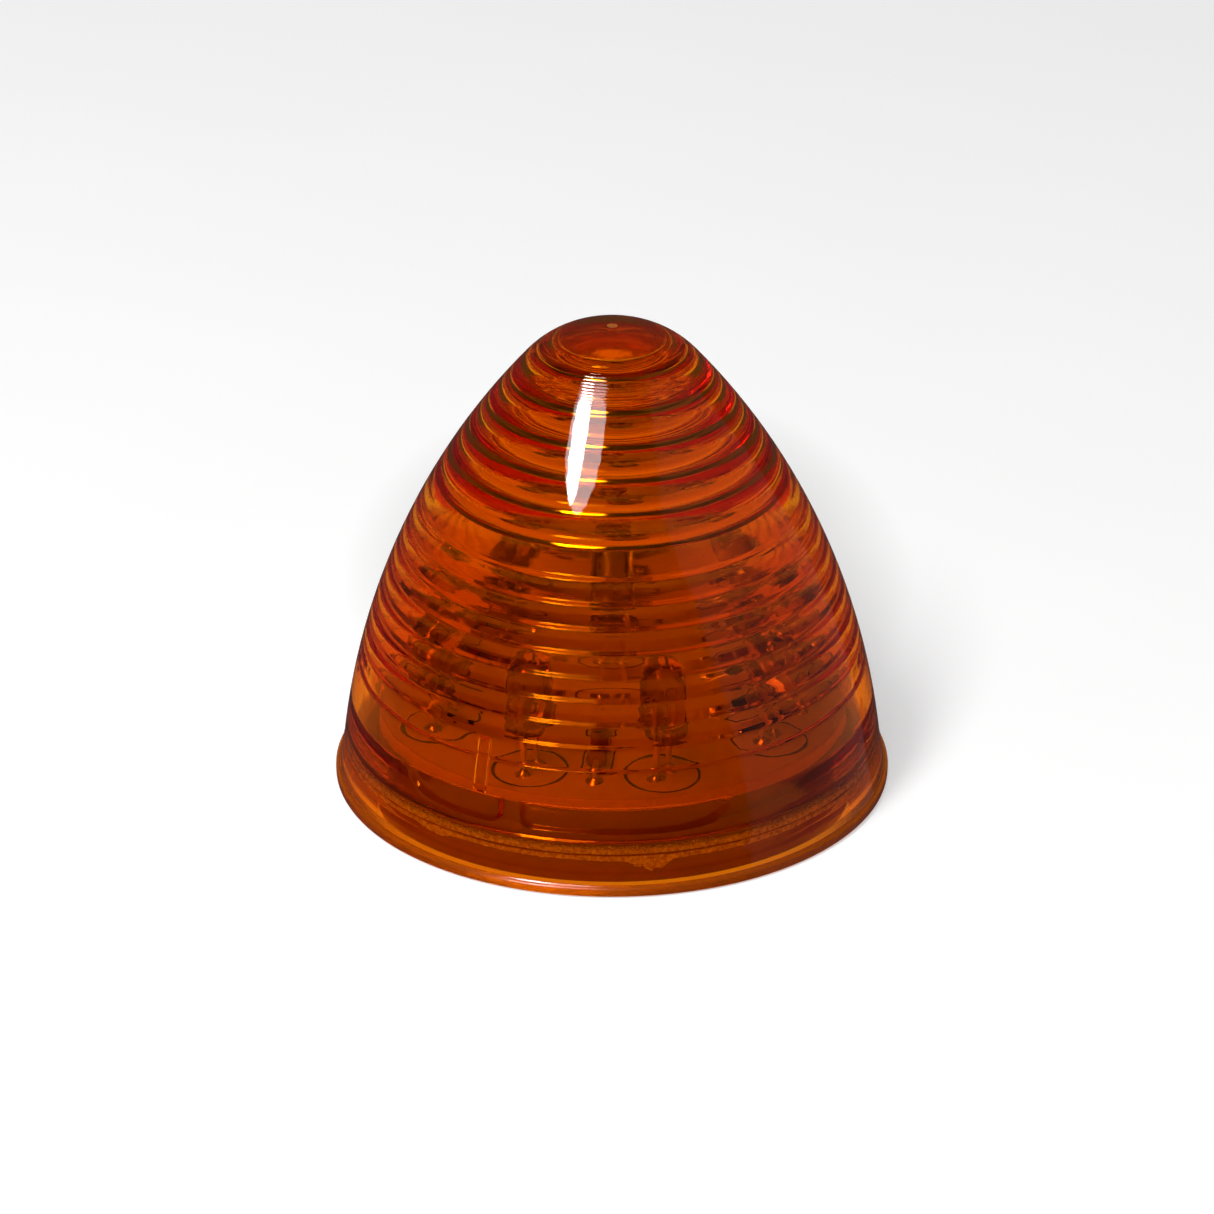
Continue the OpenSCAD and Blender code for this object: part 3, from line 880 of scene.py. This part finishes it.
def stage_material():
    """White acrylic, lit a little from below, with the lamp's soft shadow painted behind it."""
    m = Nodes("pale_floor")
    place = m.place()
    cloud = m.noise(0.02, 2.0, 0.5, place)
    shift = m.add("VectorMath", {"operation": "SUBTRACT"}, Vector=place)
    shift.inputs[1].default_value = SHADOW_MIDDLE
    off = m.length(m.scaled(shift.outputs["Vector"], (1 / SHADOW_REACH[0], 1 / SHADOW_REACH[1], 0)))
    # painted shadow: an oval behind the lamp where the floor's colour and glow are darkened
    shade = m.ramp(off, 0, 1, 0.2, 1.15)
    pale = m.blend(cloud, (0.56, 0.56, 0.56, 1), (0.6, 0.6, 0.6, 1))
    m.surface(Base_Color=m.blend(shade, (0.3, 0.29, 0.28, 1), pale), Roughness=0.6,
              Emission_Color=m.blend(shade, (0.3, 0.29, 0.28, 1), (1, 1, 1, 1)), Emission_Strength=0.55)
    return m.mat


def floor():
    bm = bmesh.new()
    bmesh.ops.create_grid(bm, x_segments=2, y_segments=2, size=3.0)
    obj = new_object("floor", bm, stage_material())
    obj.location.z = -0.15 * MM
    obj.visible_glossy = False
    return obj


def overhead_light(name, middle, size, lean, height, power):
    """A level ellipse of light over the lamp; middle and size are multiples of its height."""
    data = bpy.data.lights.new(name, "AREA")
    data.shape = "ELLIPSE"
    data.size, data.size_y = size[0] * height, size[1] * height
    data.energy = power
    obj = bpy.data.objects.new(name, data)
    obj.location = (middle[0] * height, middle[1] * height, height)
    obj.rotation_euler.z = math.radians(lean)
    bpy.context.scene.collection.objects.link(obj)
    return obj


def upright_light(name, bearing, distance, middle_z, across, tall, power, lean):
    """A standing panel of light that faces the lamp, leaning by some degrees in its own plane."""
    data = bpy.data.lights.new(name, "AREA")
    data.shape = "RECTANGLE"
    data.size, data.size_y = tall, across
    data.energy = power
    obj = bpy.data.objects.new(name, data)
    angle = FRONT + math.radians(bearing)
    obj.location = (distance * math.cos(angle), distance * math.sin(angle), middle_z)
    facing = Vector((-obj.location.x, -obj.location.y, 0))
    turn = facing.to_track_quat("-Z", "Z") @ Quaternion((0, 0, 1), math.radians(lean))
    obj.rotation_euler = turn.to_euler()
    bpy.context.scene.collection.objects.link(obj)
    return obj


def world(mirrored, through, scattered, backdrop):
    """Brightness towards the front and the back, in reflections, through plastic and off matt surfaces.

    Each is a multiple of the plain dark grey that a world starts with. Seen directly, past the floor, it is
    an even pale backdrop."""
    w = bpy.data.worlds.new("studio")
    w.use_nodes = True
    nodes, links = w.node_tree.nodes, w.node_tree.links
    coords = nodes.new("ShaderNodeTexCoord")
    along = nodes.new("ShaderNodeVectorMath")
    along.operation = "DOT_PRODUCT"
    along.inputs[1].default_value = (0.0, 0.94, -0.34)
    links.new(coords.outputs["Generated"], along.inputs[0])
    path = nodes.new("ShaderNodeLightPath")
    ramps = []
    for front, back in (mirrored, through, scattered):
        ramp = nodes.new("ShaderNodeMapRange")
        ramp.interpolation_type = "SMOOTHSTEP"
        for key, value in (("From Min", 0.0), ("From Max", 0.7), ("To Min", front), ("To Max", back)):
            ramp.inputs[key].default_value = value
        links.new(along.outputs["Value"], ramp.inputs["Value"])
        ramps.append(ramp.outputs["Result"])
    plain = nodes.new("ShaderNodeValue").outputs[0]
    plain.default_value = backdrop
    strength = ramps[0]
    for signal, value in (("Is Transmission Ray", ramps[1]), ("Diffuse Depth", ramps[2]),
                          ("Is Camera Ray", plain)):
        choose = nodes.new("ShaderNodeMix")
        links.new(path.outputs[signal], choose.inputs[0])
        links.new(strength, choose.inputs[2])
        links.new(value, choose.inputs[3])
        strength = choose.outputs[0]
    links.new(strength, nodes["Background"].inputs["Strength"])
    bpy.context.scene.world = w


def camera():
    """Stands 600 mm from the lamp, 26 degrees above it, and looks a little past its axis."""
    data = bpy.data.cameras.new("camera")
    data.lens, data.sensor_width = 156.6, 36.0
    obj = bpy.data.objects.new("camera", data)
    elevation, distance = math.radians(25.98), 0.6
    aim = Vector((-0.57 * MM, 0, 20.05 * MM))
    back = Vector((0, -math.cos(elevation), math.sin(elevation)))
    obj.location = aim + back * distance
    obj.rotation_euler = (-back).to_track_quat("-Z", "Y").to_euler()
    bpy.context.scene.collection.objects.link(obj)
    bpy.context.scene.camera = obj


floor()
overhead_light("key_soft", (-0.4, -0.63), (0.58, 0.94), -20, 0.8, 4.9)
overhead_light("key_core", (-0.51, -0.62), (0.26, 0.84), -20, 0.801, 7.5)
upright_light("side_panel", 86, 1.0, 0.3, 1.4, 2.65, 0.95, 20)
world((0.02, 0.7), (0.7, 2.1), (1.1, 1.8), 15.0)
camera()
view = bpy.context.scene.view_settings
view.view_transform = "Standard"
cycles = bpy.context.scene.cycles
cycles.max_bounces = cycles.transmission_bounces = cycles.glossy_bounces = 48     # for the lens's many steps
